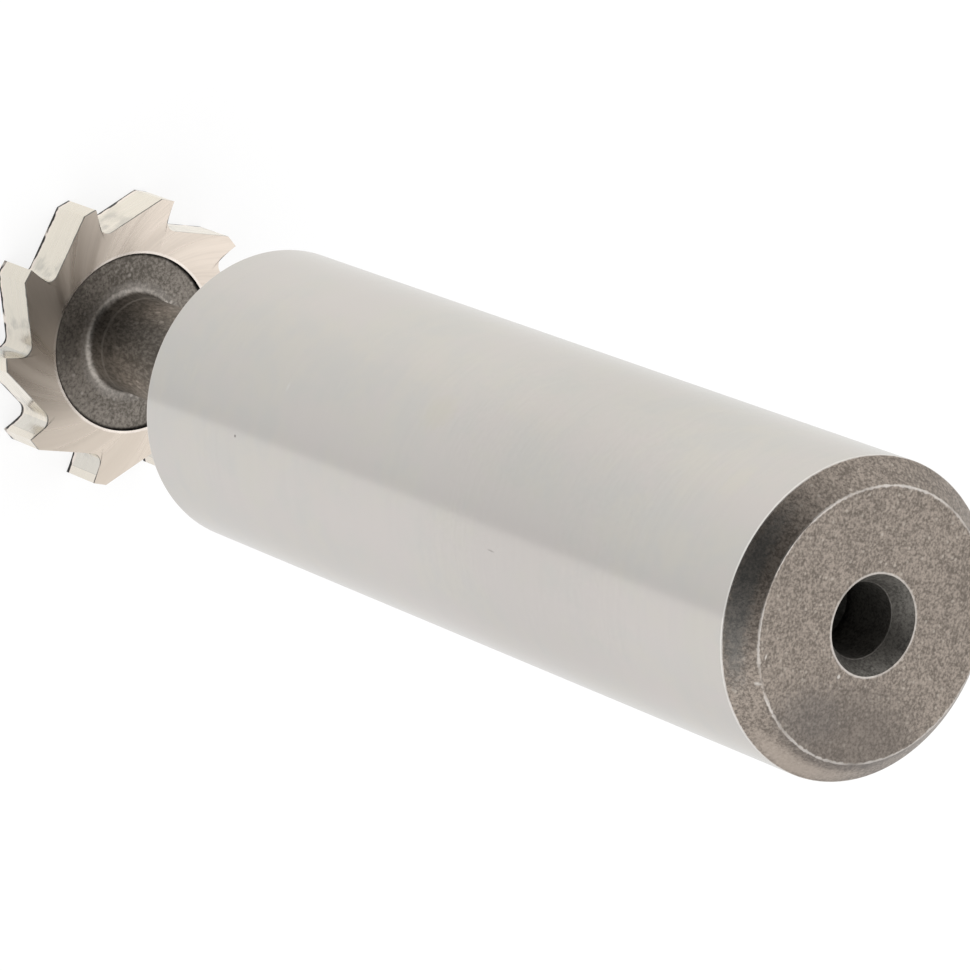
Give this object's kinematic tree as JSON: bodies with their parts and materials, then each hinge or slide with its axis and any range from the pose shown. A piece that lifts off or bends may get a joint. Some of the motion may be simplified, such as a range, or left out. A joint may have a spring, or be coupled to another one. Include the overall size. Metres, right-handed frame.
{
  "type": "woodruff keyseat cutter",
  "caption": "Straight-tooth keyseat cutter: a thin toothed disc on a slim neck, with a plain round shank to grip in a milling holder.",
  "frame": {"origin": "on the cutter's axis, in the plane of the front edges of its teeth, on which it stands", "axes": "+Z along the cutter's axis, from the head towards the end of the shank; +X through the cutting edge of one tooth"},
  "size_m": [0.013, 0.0126, 0.0556],
  "materials": {
    "tool_steel": "ground shank, teeth and sides; dark heat-treatment scale on the neck, the recess of the head and the end of the shank"
  },
  "bodies": {
    "root": {"keyseat_cutter": "tool_steel"}
  },
  "joints": []
}
